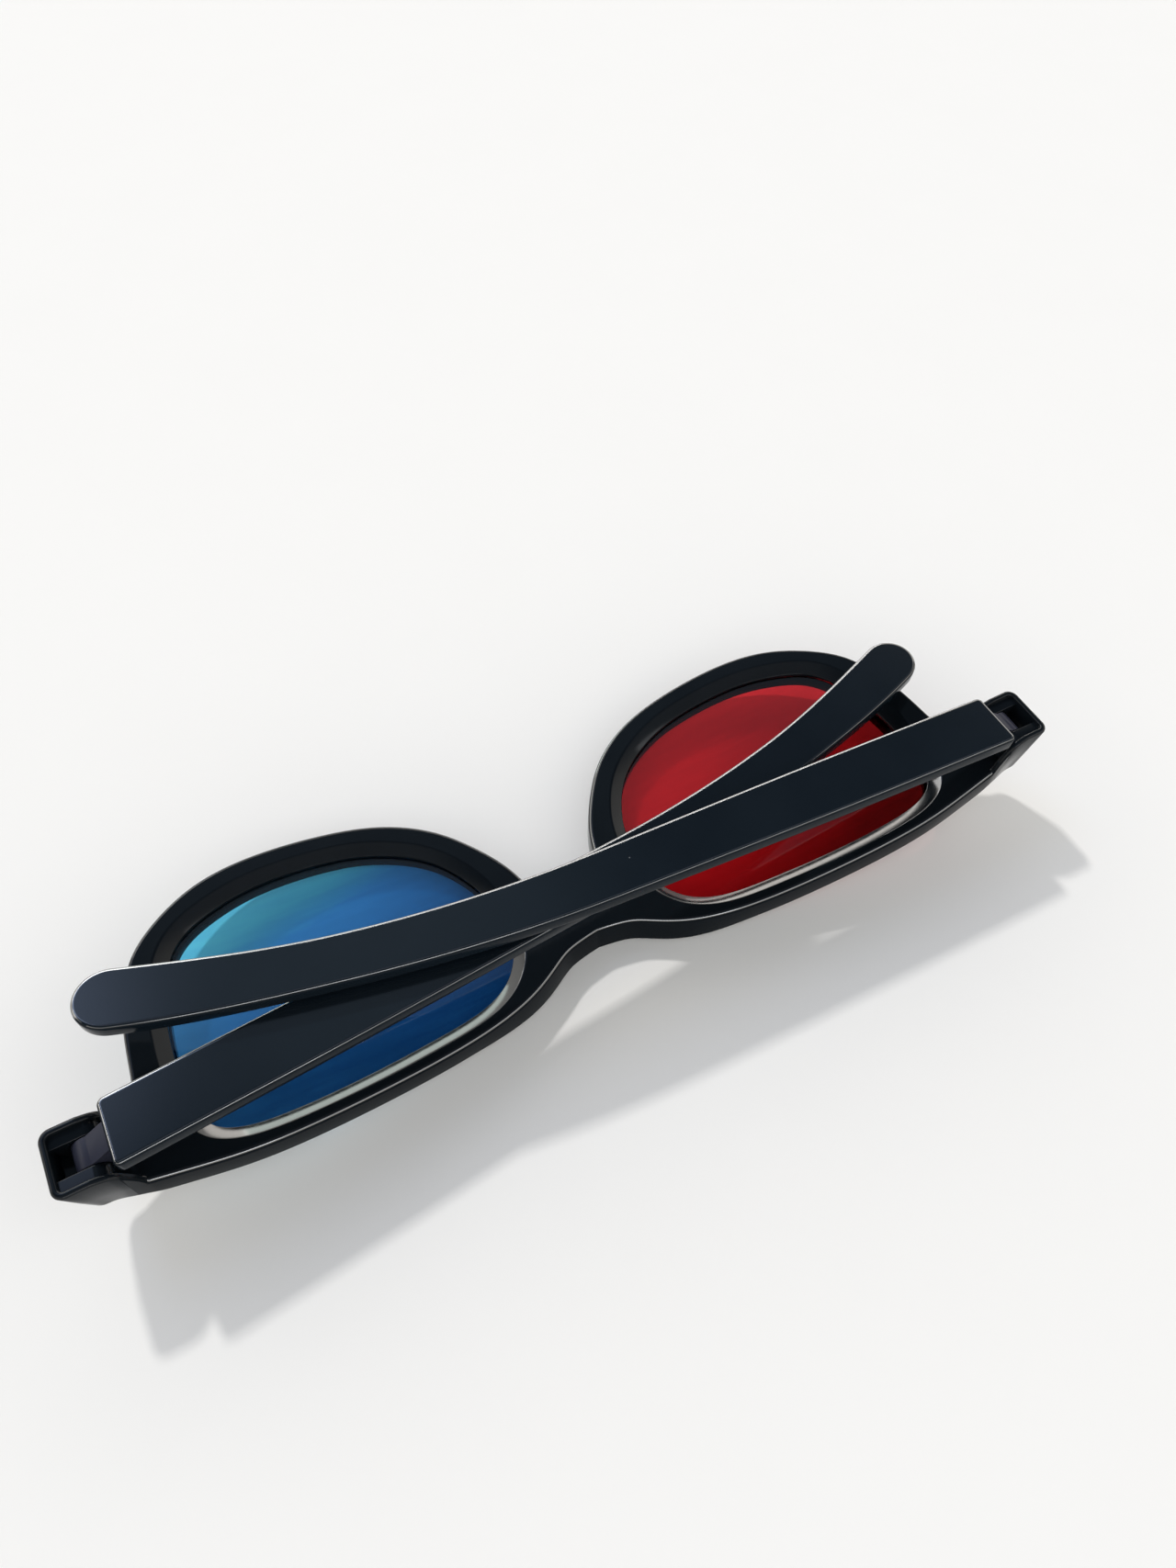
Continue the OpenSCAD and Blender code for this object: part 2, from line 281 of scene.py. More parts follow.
def plasticMaterial(name, look):
    material, nodes, links, shader = newMaterial(name)
    skin = nodes.new("ShaderNodeGroup")
    skin.node_tree = mouldedSkin
    for socket, key in (("Grain Scale", "grainScale"), ("Blotch Scale", "blotchScale"),
                        ("Dust Scale", "dustScale"), ("Dust Size", "dustSize")):
        skin.inputs[socket].default_value = look[key]
    blotch = mapRange(nodes, links, skin.outputs["Blotch"], 0.3, 0.7, 0, 1)
    tone = mixColour(nodes, links, blotch, look["dark"], look["light"])
    links.new(mixColour(nodes, links, skin.outputs["Dust"], tone, look["dust"]), shader.inputs["Base Color"])
    rough = mapRange(nodes, links, skin.outputs["Grain"], 0.2, 0.8, *look["rough"])
    links.new(rough, shader.inputs["Roughness"])
    bump = nodes.new("ShaderNodeBump")
    bump.inputs["Strength"].default_value = look["bump"]
    bump.inputs["Distance"].default_value = look["bumpDepth"] * mm
    links.new(skin.outputs["Grain"], bump.inputs["Height"])
    links.new(bump.outputs["Normal"], shader.inputs["Normal"])
    shader.inputs["Specular IOR Level"].default_value = look["gloss"]
    shader.inputs["IOR"].default_value = look["ior"]
    return material


frontLook = {"dark": (0.0042, 0.0062, 0.0086), "light": (0.006, 0.0084, 0.0112), "dust": (0.05, 0.055, 0.06),
             "grainScale": 1400, "blotchScale": 90, "dustScale": 240, "dustSize": 0.022,
             "rough": (0.08, 0.13), "bump": 0.02, "bumpDepth": 0.02, "gloss": 0.16, "ior": 1.5}
templeLook = {"dark": (0.0046, 0.0082, 0.0125), "light": (0.0066, 0.0108, 0.0158), "dust": (0.12, 0.13, 0.14),
              "grainScale": 5200, "blotchScale": 70, "dustScale": 210, "dustSize": 0.028,
              "rough": (0.11, 0.16), "bump": 0.09, "bumpDepth": 0.03, "gloss": 0.47, "ior": 1.5}
# The barrel is the temple's own plastic painted lighter and bluer, a painted sheen for the light its round top
# catches
knuckleSheenLook = {**templeLook, "dark": (0.022, 0.024, 0.039), "light": (0.032, 0.034, 0.053),
               "rough": (0.28, 0.36), "gloss": 0.15}
# Higher reflection on chosen bands of the rounded edges, to make crisp highlight lines
glintLook = {**templeLook, "rough": (0.1, 0.16), "bump": 0.04, "ior": 2}
sideLook = {**templeLook, "rough": (0.09, 0.14), "bump": 0.03, "gloss": 0.5, "ior": 1.16}
frontPlastic = plasticMaterial("frontPlastic", frontLook)
frontEdge = plasticMaterial("frontEdge", {**frontLook, "gloss": 0.5, "ior": 2})  # higher reflection on the crest faces, to make a crisp highlight line
bevelPolish = plasticMaterial("bevelPolish", {**frontLook, "gloss": 0.5})
frontSide = plasticMaterial("frontSide", {**frontLook, "gloss": 0.5, "ior": 1.1})  # dull walls
templePlastic = plasticMaterial("templePlastic", templeLook)
templeEdge = plasticMaterial("templeEdge", {**glintLook, "gloss": 0.9})
templeCrest = plasticMaterial("templeCrest", {**glintLook, "gloss": 0.4})
templeSide = plasticMaterial("templeSide", sideLook)
knucklePlastic = plasticMaterial("knucklePlastic", knuckleSheenLook)

lensSheet = {"streakStretch": (0.06, 1, 1), "streakScale": 900, "shadeShare": 0.92, "streakShare": 0.08,
             "smudgeScale": 110, "rough": (0.01, 0.06), "ior": 1.49, "tableTint": 0.12, "lampShare": 0.5}


def lensMaterial(name, look):
    material, nodes, links, shader = newMaterial(name)
    coords = nodes.new("ShaderNodeTexCoord").outputs["Object"]
    across = alongWay(nodes, links, coords, look["shadeWay"])
    drawn = stretched(nodes, links, coords, lensSheet["streakStretch"], look["streakTurn"])
    streaks = noise(nodes, links, drawn, lensSheet["streakScale"], 2)  # faint, along the sheet
    tint = nodes.new("ShaderNodeValToRGB")
    steps = tint.color_ramp.elements
    steps.new(look["midAt"])
    for step, key in zip(steps, ("deep", "mid", "pale")):
        step.color = (*look[key], 1)
    low, high = [v * mm for v in look["shadeEnds"]]
    paintedShade = mapRange(nodes, links, across, low, high, 0, lensSheet["shadeShare"])  # painted shade: darker towards the brow and paler towards the far edge, standing in for light and shade on the table under the sheet
    streaked = mapRange(nodes, links, streaks, 0.3, 0.7, 0, lensSheet["streakShare"])
    links.new(mathNode(nodes, links, "ADD", paintedShade, streaked), tint.inputs["Fac"])
    links.new(tint.outputs["Color"], shader.inputs["Base Color"])
    smudge = noise(nodes, links, coords, lensSheet["smudgeScale"], 4)
    links.new(mapRange(nodes, links, smudge, 0.3, 0.8, *lensSheet["rough"]), shader.inputs["Roughness"])
    shader.inputs["Transmission Weight"].default_value = 1
    shader.inputs["IOR"].default_value = lensSheet["ior"]
    seeThrough = nodes.new("ShaderNodeBsdfTransparent")  # lets tinted light through to the table
    tableTint = nodes.new("ShaderNodeGamma")  # the light on the table is only faintly dyed
    tableTint.inputs["Gamma"].default_value = lensSheet["tableTint"]
    links.new(tint.outputs["Color"], tableTint.inputs["Color"])
    links.new(tableTint.outputs["Color"], seeThrough.inputs["Color"])
    path = nodes.new("ShaderNodeLightPath")
    # Lamps get through only in part, so the table stays even under the sheet
    direct = mathNode(nodes, links, "MULTIPLY", path.outputs["Is Shadow Ray"], lensSheet["lampShare"])
    pick = nodes.new("ShaderNodeMixShader")
    links.new(mathNode(nodes, links, "MAXIMUM", direct, path.outputs["Is Diffuse Ray"]), pick.inputs["Fac"])
    links.new(shader.outputs["BSDF"], pick.inputs[1])
    links.new(seeThrough.outputs["BSDF"], pick.inputs[2])
    links.new(pick.outputs["Shader"], nodes["Material Output"].inputs["Surface"])
    return material


# Deep to pale is painted shade over each filter's tint: deep where the table beneath lies in shade, pale where it
# is lit
redLook = {"deep": (0.12, 0.005, 0.006), "mid": (0.7, 0.022, 0.03), "pale": (1, 0.03, 0.04), "midAt": 0.7,
           "shadeWay": (-0.56, 0.83, 0), "shadeEnds": (-42, -5), "streakTurn": 12}
blueLook = {"deep": (0.018, 0.105, 0.29), "mid": (0.08, 0.385, 0.86), "pale": (0.15, 0.74, 1), "midAt": 0.74,
            "shadeWay": (-0.25, 0.97, 0), "shadeEnds": (0, 21), "streakTurn": -12}
redFilter = lensMaterial("redFilter", redLook)
blueFilter = lensMaterial("blueFilter", blueLook)


pinLook = {"dark": (0.42, 0.43, 0.45), "light": (0.62, 0.63, 0.65), "rough": (0.22, 0.38),
           "lineScale": 9000, "lineStretch": (1, 0.05, 1)}


def makePinSteel(look):
    material, nodes, links, shader = newMaterial("pinSteel")
    coords = nodes.new("ShaderNodeTexCoord").outputs["Object"]
    drawn = stretched(nodes, links, coords, look["lineStretch"])  # drawing lines run along the pin
    lines = noise(nodes, links, drawn, look["lineScale"], 2)
    links.new(mixColour(nodes, links, lines, look["dark"], look["light"]), shader.inputs["Base Color"])
    links.new(mapRange(nodes, links, lines, 0.2, 0.8, *look["rough"]), shader.inputs["Roughness"])
    shader.inputs["Metallic"].default_value = 1
    return material


pinSteel = makePinSteel(pinLook)
for node in ("pin_left", "pin_right"):
    pin = frame["nodes"][node]
    for slot in pin.material_slots:
        slot.material = pinSteel
print("finishes ready")


# Front

front = {"lensW": 46.2, "lensH": 33.4, "bridgeW": 22.6, "thick": 4.8, "wrapR": 350,
         "browRim": 3.5, "lowRim": 4.6, "sideRim": 5.2, "noseRim": 5.8, "bridgeDrop": 8.6, "bridgeH": 6.6,
         "endL": 10.3, "endH": 8.8, "endDepth": 16.5, "cornerR": 1.5, "draft": 0.06,
         "endLean": 2.2, "leanRun": 7, "leanDepth": 8.8, "leanPower": 1.4,
         "bridgeFlare": 0.65, "flareFrom": 9, "flareRun": 15,
         "backEdgeR": 0.7, "faceEdgeR": 0.7, "endRound": (0.9, 1.3),
         "bevelW": 1.8, "bevelFoot": 3.66, "ridgeR": 0.22,
         "grooveD": 0.8, "grooveLow": 1.54, "grooveHigh": 3.26, "lensFaceR": 0.4,
         "wall": 0.9, "wallInset": 1.0, "support": 0.12}
lensX = (front["bridgeW"] + front["lensW"]) / 2
lensY = (front["browRim"] - front["lowRim"]) / 2
rimX = front["bridgeW"] / 2 + front["lensW"] + front["sideRim"]
halfW = rimX + front["endL"]
noseX = front["bridgeW"] / 2 - front["noseRim"]
dipY = lensY - front["lensH"] / 2 - front["browRim"] + front["bridgeDrop"]
archY = dipY + front["bridgeH"]
joint = {j["name"]: j for j in frame["joints"]}["hinge_left"]
hingeX, hingeY, hingeZ = [v / mm for v in joint["pos_m"]]
buttL = 2.7  # from the pin to the square end of a temple

# Lens outline on the +X side, as shares of the half width and half height of the opening
lensShape = [(-1, -0.2), (-0.94, -0.6), (-0.7, -0.855), (-0.2, -0.955), (0.45, -1), (0.82, -0.95),
             (0.97, -0.75), (1, -0.3), (0.95, 0.25), (0.8, 0.69), (0.5, 0.92), (0.12, 1), (-0.35, 0.925),
             (-0.72, 0.66), (-0.93, 0.26)]
lensLoop = smoothLoop([(lensX + u * front["lensW"] / 2, lensY + v * front["lensH"] / 2)
                       for u, v in lensShape], 40)
lensCentre = Vector((lensX, lensY))
quarterTurn = [math.radians(a) for a in range(0, 91, 10)]


def rimSide(u):
    return lensX + u * (front["lensW"] / 2 + (front["noseRim"] if u < 0 else front["sideRim"]))


def browPoint(u, v):
    return (rimSide(u), lensY + v * (front["lensH"] / 2 + front["browRim"]))


def footPoint(u, v):
    return (rimSide(u), lensY + v * (front["lensH"] / 2 + front["lowRim"]))


def endPoint(u, v, side):
    return (rimX + u * front["endL"], hingeY + side * v * front["endH"] / 2)


def endCorner(side):  # arc round an outer corner of the end-piece
    r, half = front["cornerR"], front["endH"] / 2
    return [Vector((halfW - r * (1 - math.sin(a)), hingeY + side * (half - r * (1 - math.cos(a)))))
            for a in quarterTurn]


browPoints = [(0, dipY), (0.73 * noseX, dipY - 0.07 * front["bridgeDrop"]),
              (1.22 * noseX, dipY - 0.2 * front["bridgeDrop"]), browPoint(-0.8, -0.79),
              browPoint(-0.545, -0.9), browPoint(-0.13, -0.965), browPoint(0.48, -1), browPoint(0.8, -0.965),
              endPoint(0.22, 1.06, -1), endPoint(0.58, 1, -1), endCorner(-1)[0]]
footPoints = [(0, archY), (0.6 * noseX, archY + 0.14 * front["bridgeH"]),
              (0.93 * noseX, archY + 0.55 * front["bridgeH"]), footPoint(-0.985, 0.06),
              footPoint(-0.935, 0.245), footPoint(-0.81, 0.51), footPoint(-0.665, 0.715),
              footPoint(-0.46, 0.875), footPoint(-0.2, 0.965), footPoint(0.13, 1), footPoint(0.41, 0.955),
              footPoint(0.62, 0.83), footPoint(0.8, 0.64), footPoint(0.9, 0.44), footPoint(0.975, 0.115),
              footPoint(1, -0.2), endPoint(0.07, 1.3, 1), endPoint(0.25, 1.02, 1), endPoint(0.58, 1, 1),
              endCorner(1)[0]]
rimStep = {"end": 0.25, "bridge": 0.35, "rim": 0.7, "bridgeTo": 26, "spanPoints": 120, "evenReach": 70}


def rimGap(p):  # finer steps round the bridge and where the end-piece rises
    if p.x > rimX - 1:
        return rimStep["end"]
    return rimStep["bridge"] if p.x < rimStep["bridgeTo"] else rimStep["rim"]


def rimRun(points):  # up to the corner of the end-piece, which follows
    return spaced(relaxed(smoothLine(points, rimStep["spanPoints"]), rimStep["evenReach"]), rimGap)[:-1]


browRun, footRun = rimRun(browPoints), rimRun(footPoints)
endSide = [Vector((halfW, hingeY + t * (front["endH"] / 2 - front["cornerR"])))
           for t in (-0.6, -0.2, 0.2, 0.6)]
outline = browRun + endCorner(-1) + endSide + endCorner(1)[::-1] + footRun[::-1]
browStations = len(browRun)
middle = [Vector((0, archY + (dipY - archY) * k / 8)) for k in range(1, 8)]  # on the mirror plane
stations = len(outline) + len(middle)
lastRim = len(outline) - 1


def outlineNormal(i):
    if i in (0, lastRim):
        return Vector((0, -1 if i == 0 else 1))
    t = (outline[i + 1] - outline[i - 1]).normalized()
    return Vector((t.y, -t.x))


rimNormals = [outlineNormal(i) for i in range(len(outline))]

# Each station round the outline looks at a place on the lens, by its direction from the lens's middle
lensTurns = []
for p in lensLoop:
    turn = math.degrees(math.atan2(p.y - lensY, p.x - lensX)) % 360
    while lensTurns and turn < lensTurns[-1] - 1:
        turn += 360
    lensTurns.append(turn)


def lensAt(turn):
    turn = lensTurns[0] + (turn - lensTurns[0]) % 360
    i = min(bisect.bisect_right(lensTurns, turn), len(lensTurns)) - 1
    a, b = lensLoop[i], lensLoop[(i + 1) % len(lensLoop)]
    low = lensTurns[i]
    high = lensTurns[i + 1] if i + 1 < len(lensTurns) else lensTurns[0] + 360
    p = a.lerp(b, (turn - low) / max(high - low, 1e-6))
    before, after = lensLoop[i - 3], lensLoop[(i + 4) % len(lensLoop)]
    t = (after - before).normalized()
    return p, Vector((t.y, -t.x))


lensPlaces = []
lastTurn = None
for p in outline + middle:
    seen = Vector((min(p.x, rimX) + 0.15 * max(p.x - rimX, 0), p.y)) - lensCentre
    turn = math.degrees(math.atan2(seen.y, seen.x))
    while lastTurn is not None and turn < lastTurn - 180:
        turn += 360
    lastTurn = turn if lastTurn is None else max(turn, lastTurn + 0.02)
    lensPlaces.append(lensAt(lastTurn))

# Top of the end-piece's wall along X, from the back of the rim up to its own back
wallTop = smoothLine([(rimX + front["wallInset"], wrapZ(rimX + front["wallInset"], front["thick"] - 0.6)),
                      (hingeX - 1.1 * buttL, front["endDepth"] - buttL),
                      (hingeX - 0.6 * buttL, front["endDepth"] - 0.27 * buttL),
                      (hingeX + 0.07 * buttL, front["endDepth"])], 12)


def wallTopAt(x):
    if x >= wallTop[-1].x:
        return front["endDepth"]
    if x <= wallTop[0].x:
        return 0
    i = bisect.bisect_right([p.x for p in wallTop], x)
    a, b = wallTop[i - 1], wallTop[i]
    return a.y + (b.y - a.y) * (x - a.x) / (b.x - a.x)


def lensRing(reach, depth):
    ring = []
    for p, n in lensPlaces:
        q = p + reach * n
        ring.append((q.x, q.y, wrapZ(q.x, depth)))
    return ring


def insetPlan(i, inset):
    if i <= lastRim:
        q = outline[i] - inset * rimNormals[i]
        return Vector((0, q.y)) if i in (0, lastRim) else q
    k = (i - lastRim) / (len(middle) + 1)
    return Vector((0, (archY - inset) + (dipY + 2 * inset - archY) * k))


def endShare(i):  # 0 on the rims, 1 along the end-piece
    return ease((outline[i].x - rimX) / 3) if i <= lastRim else 0


def drafted(i, q, z):  # the end-piece's flanks and end lean in towards the face
    depth = max(front["endDepth"] - z, 0)
    lean = ease((q.x - rimX - 1) / front["leanRun"]) * front["draft"] * depth / (front["endH"] / 2)
    near = ease((q.x - halfW + front["leanRun"]) / front["leanRun"])
    back = front["endLean"] * (depth / front["leanDepth"]) ** front["leanPower"] * near
    return Vector((q.x - back, q.y - (q.y - hingeY) * lean)) if i <= lastRim else q


def betweenRing(reach, inset, depth, share):
    ring = []
    for i, (p, n) in enumerate(lensPlaces):
        outer = insetPlan(i, inset)
        if depth == 0:
            outer = drafted(i, outer, wrapZ(outer.x, 0))
        q = (p + reach * n).lerp(outer, share)
        ring.append((q.x, q.y, wrapZ(q.x, depth)))
    return ring


# Rounded back edge of a rim, rows of inset and drop, and rim of the end-piece's wall, rows of inset, share and drop
backArc = [(front["backEdgeR"] * (1 - math.sin(a)), front["backEdgeR"] * (1 - math.cos(a))) for a in quarterTurn]
rimRows = [(front["backEdgeR"] + front["support"], 0)] + backArc
wallRows = [(1.02, 0, 0), (front["wall"], 0, -0.15), (front["wall"], 1, 0.35), (0.87, 1, 0.16),
            (0.78, 1, 0.04), (0.64, 1, 0), (0.42, 1, 0), (0.24, 1, 0.05), (0.1, 1, 0.17), (0.02, 1, 0.36),
            (0, 0, 0.9)]


def backRow(k):
    ring = []
    for i in range(stations):
        if i > lastRim:
            q = insetPlan(i, rimRows[k][0])
            ring.append((q.x, q.y, wrapZ(q.x, front["thick"])))
            continue
        top = wallTopAt(outline[i].x)
        rise = top - wrapZ(outline[i].x, front["thick"])
        share = ease(rise / 1.6)
        q = insetPlan(i, rimRows[k][0] * (1 - share) + wallRows[k][0] * share)
        back = wrapZ(q.x, front["thick"])
        wallZ = back + wallRows[k][1] * max(top - back, 0) - wallRows[k][2]
        z = (back - rimRows[k][1]) * (1 - share) + wallZ * share
        if k == len(rimRows) - 1:
            q = drafted(i, q, z)
        ring.append((q.x, q.y, z))
    return ring


def browFlare(i):  # under the bridge the brow is wider at the face than at the back
    away = ease((outline[i].x - front["flareFrom"]) / front["flareRun"]) if i < browStations else 1
    return front["bridgeFlare"] * (1 - away)


def faceRow(angle):  # rounded edge of the face, fuller under the end-piece
    a = math.radians(angle)
    ring = []
    for i in range(stations):
        wide, deep = [front["faceEdgeR"] + (r - front["faceEdgeR"]) * endShare(i) for r in front["endRound"]]
        inset = wide * (1 - math.cos(a))
        drop = deep * (1 - math.sin(a))
        q = insetPlan(i, inset - browFlare(i))
        q = drafted(i, q, wrapZ(q.x, drop))
        ring.append((q.x, q.y, wrapZ(q.x, drop)))
    return ring


def bevelRidge(t):  # rounded meeting of the lens bevel and the back
    slope = Vector((front["bevelW"], front["thick"] - front["bevelFoot"])).normalized()
    ridge = Vector((front["bevelW"], front["thick"]))
    a, b = ridge - front["ridgeR"] * slope, ridge + Vector((front["ridgeR"], 0))
    return a.lerp(ridge, t).lerp(ridge.lerp(b, t), t)


def extrudeRow(piece, ring):  # carries the selected edges on by one row, laid on the ring's points
    bpy.ops.mesh.extrude_edges_indiv()
    mesh = bmesh.from_edit_mesh(piece.data)
    station = mesh.verts.layers.int["station"]
    row = mesh.verts.layers.int["row"]
    number = max(v[row] for v in mesh.verts) + 1
    for v in mesh.verts:
        if v.select:
            v.co = metres(ring[v[station]])
            v[row] = number
    bmesh.update_edit_mesh(piece.data)


def selectRow(piece, number, rimOnly=False):
    mesh = bmesh.from_edit_mesh(piece.data)
    station = mesh.verts.layers.int["station"]
    row = mesh.verts.layers.int["row"]
    number = max(v[row] for v in mesh.verts) if number is None else number
    middleStations = set(range(lastRim, stations)) | {0}
    selectParts(piece, "edges", lambda e: all(v[row] == number for v in e.verts)
                and not (rimOnly and all(v[station] in middleStations for v in e.verts)))


def makeFrontHalf():
    clearSelection()
    bpy.ops.mesh.primitive_circle_add(vertices=stations, radius=front["lensW"] / 2 * mm)
    piece = bpy.context.object
    for name in ("station", "row"):
        piece.data.attributes.new(name, "INT", "POINT")
    start = lensRing(0, front["grooveLow"])
    for i, v in enumerate(piece.data.vertices):
        piece.data.attributes["station"].data[i].value = i
        v.co = metres(start[i])
    editMode("EDGE")
    bpy.ops.mesh.select_all(action="SELECT")
    lensRows = [(front["grooveD"], front["grooveLow"]), (front["grooveD"], front["grooveHigh"]),
                (0, front["grooveHigh"]), (0, front["bevelFoot"] - 0.06),
                (0.02, front["bevelFoot"] - 0.01), (0.08, front["bevelFoot"] + 0.04)]
    lensRows += [tuple(bevelRidge(t)) for t in (0, 0.25, 0.5, 0.75, 1)]
    flatReach = front["bevelW"] + front["ridgeR"] + 0.06
    lensRows.append((flatReach, front["thick"]))
    for reach, depth in lensRows:
        extrudeRow(piece, lensRing(reach, depth))
    for share in (0.25, 0.5, 0.75):
        extrudeRow(piece, betweenRing(flatReach, rimRows[0][0], front["thick"], share))
    extrudeRow(piece, backRow(0))
    selectRow(piece, None, rimOnly=True)
    for k in range(1, len(rimRows)):
        extrudeRow(piece, backRow(k))
    for angle in (0, 8, 18, 30, 42, 54, 66, 78, 90):
        extrudeRow(piece, faceRow(angle))
    faceInset = front["endRound"][0] + front["support"]
    extrudeRow(piece, betweenRing(0, faceInset, 0, 1))
    selectRow(piece, 0)
    r = front["lensFaceR"]
    for angle in (0, 30, 60, 90):
        a = math.radians(angle)
        extrudeRow(piece, lensRing(r * (1 - math.cos(a)), r * (1 - math.sin(a))))
    for share in (0.05, 0.35, 0.65, 1):
        extrudeRow(piece, betweenRing(r, faceInset, 0, share))
    bpy.ops.mesh.select_all(action="SELECT")
    bpy.ops.mesh.remove_doubles(threshold=0.002 * mm)
    bpy.ops.object.mode_set(mode="OBJECT")
    for name in ("station", "row"):
        piece.data.attributes.remove(piece.data.attributes[name])
    return piece


def makeLug(side):  # knuckle of the front: a block with a round inner end
    clearSelection()
    lug = {"slot": 3.8, "reach": 3.725, "low": 10.8, "r": 1.9, "roundShare": 0.98, "footIn": 0.75, "edgeR": 0.14}
    length = lug["reach"] - lug["slot"] / 2
    low = Vector((hingeX - lug["r"], hingeY + side * (lug["slot"] / 2 + length / 2) - length / 2, lug["low"]))
    size = Vector((halfW - front["wall"] / 2 - low.x, length, hingeZ + lug["r"] - lug["low"]))
    bpy.ops.mesh.primitive_cube_add(size=1, location=metres(low + size / 2), scale=metres(size))
    piece = bpy.context.object
    bpy.ops.object.transform_apply(location=True, rotation=True, scale=True)
    for v in piece.data.vertices:  # the foot keeps inside the leaning end
        if v.co.x > hingeX * mm and v.co.z < hingeZ * mm:
            v.co.x -= lug["footIn"] * front["endLean"] * mm
    editMode("EDGE")
    top = (hingeZ + lug["r"]) * mm
    selectParts(piece, "edges", lambda e: all(v.co.z > top - 1e-6 and v.co.x < low.x * mm + 1e-6 for v in e.verts))
    roundEdges(lug["r"] * lug["roundShare"], 14)
    slotY = (hingeY + side * lug["slot"] / 2) * mm
    selectParts(piece, "edges", lambda e: e.calc_face_angle(0) > math.radians(60)
                and all(abs(v.co.y - slotY) < 1e-6 for v in e.verts))
    roundEdges(lug["edgeR"], 3)
    bpy.ops.object.mode_set(mode="OBJECT")
    return piece


frontPiece = makeFrontHalf()
frontPiece = joinPieces(frontPiece, [makeLug(-1), makeLug(1)])
applyModifier(frontPiece, "MIRROR", use_axis=(True, False, False), merge_threshold=0.004 * mm)
editMode("FACE")
faceOutward()
bpy.ops.object.mode_set(mode="OBJECT")
frontFinishes = [frontPlastic, frontSide, frontEdge, bevelPolish]
for face in frontPiece.data.polygons:
    at, n = face.center / mm, face.normal
    drop = wrapZ(at.x, front["thick"]) - at.z
    outward = (at.x - math.copysign(lensX, at.x)) * n.x + (at.y - lensY) * n.y
    if 0.64 < n.z < 0.87 and 0 < drop < 0.4 and outward > 0:  # crest of the rounded back edge
        face.material_index = frontFinishes.index(frontEdge)
    elif 0.7 < n.z < 0.93 and 0 < drop < 1.3 and outward < 0 and n.y > 0.08:  # brow side of the lens bevel
        face.material_index = frontFinishes.index(bevelPolish)
    elif abs(n.z) < 0.6 and n.y < -0.3 and abs(face.center.x) < (rimX + 3.5) * mm:  # walls on the brow side
        face.material_index = frontFinishes.index(frontSide)
giveFinishes(frontPiece, frontFinishes)
finishPiece(frontPiece, "frontShell", "front", "front_frame")


# Lenses

lens = {"face": 1.6, "thick": 1.6, "reach": 0.74, "points": 160, "firstTurn": 225}


def makeLens(name, side, node, material):
    clearSelection()
    bpy.ops.mesh.primitive_circle_add(vertices=lens["points"], radius=front["lensW"] / 2 * mm)
    piece = bpy.context.object
    for i, v in enumerate(piece.data.vertices):
        p, n = lensAt(lens["firstTurn"] + 360 * i / lens["points"])
        q = p + lens["reach"] * n
        v.co = metres((side * q.x, q.y, 0))
    editMode("EDGE")
    bpy.ops.mesh.select_all(action="SELECT")
    bpy.ops.mesh.fill_grid(span=lens["points"] // 4)
    faceOutward()
    extrudeBy(0, 0, lens["thick"])
    mesh = bmesh.from_edit_mesh(piece.data)
    for v in mesh.verts:
        v.co.z = wrapZ(v.co.x / mm, lens["face"] + v.co.z / mm) * mm
    bmesh.update_edit_mesh(piece.data)
    faceOutward()
    bpy.ops.object.mode_set(mode="OBJECT")
    giveFinishes(piece, [material])
    finishPiece(piece, name, "front", node)


makeLens("redLens", 1, "lens_left", redFilter)
makeLens("blueLens", -1, "lens_right", blueFilter)


# Temples

temple = {"length": 132, "thick": 2.49, "width": 8.7, "waist": 6.8, "tip": 7.9, "straight": 65, "earR": 212,
          "edgeR": 0.5, "face": 4.49, "rimInset": 0.12, "buttR": 0.9, "buttTurn": 8,
          "waistAt": 0.76, "taperAt": 0.15, "tipRound": 0.55, "crossGap": 0.75,
          "knuckleR": 1.9, "knuckleW": 3.6, "knuckleEdgeR": 0.12,
          "neckLow": 0.35, "neckStep": 0.9, "neckBack": 0.1, "neckRoot": 3}
templeFinishes = [templePlastic, templeEdge, templeSide, knucklePlastic, templeCrest]
foldAngle = math.degrees(math.atan((temple["thick"] + temple["crossGap"]) / (2 * hingeX)))


def templeMid(s, slope):
    b = max(s - temple["straight"], 0)
    f = min(s, temple["straight"])
    a = slope + b / temple["earR"]
    r = temple["earR"]
    return (f * math.cos(slope) + r * (math.sin(a) - math.sin(slope)),
            f * math.sin(slope) + r * (math.cos(slope) - math.cos(a)), a)


def templeHalf(s):
    length, tip = temple["length"], temple["tip"]
    waistS, taperS = temple["waistAt"] * length, temple["taperAt"] * length
    tipS = length - temple["tipRound"] * tip
    w = temple["width"] + (temple["waist"] - temple["width"]) * ease((s - taperS) / (waistS - taperS))
    w += (tip - temple["waist"]) * ease((s - waistS) / (tipS - waistS))
    k = max(s - tipS, 0) / (length - tipS)
    q = max(temple["buttR"] - s, 0) / temple["buttR"]
    return w / 2 * math.sqrt(max(1 - k * k, 0)) - temple["buttR"] * (1 - math.sqrt(1 - q * q))


def templeOutline(slope):
    length, buttR = temple["length"], temple["buttR"]
    tipS = length - temple["tipRound"] * temple["tip"]
    steps = [buttR * (1 - math.cos(math.radians(a))) for a in range(0, 90, 10)]
    steps += [buttR + k / 90 * (tipS - buttR) for k in range(91)]
    steps += [tipS + (length - tipS) * math.sin(math.radians(a)) for a in range(5, 90, 5)]

    def edge(s, side):
        x, y, a = templeMid(s, slope)
        turn = a * ease(s / temple["buttTurn"])
        h = side * templeHalf(s)
        return (-buttL - x + h * math.sin(turn), y + h * math.cos(turn))

    tipX, tipY, _ = templeMid(length, slope)
    return [edge(s, 1) for s in steps] + [(-buttL - tipX, tipY)] + [edge(s, -1) for s in reversed(steps)]


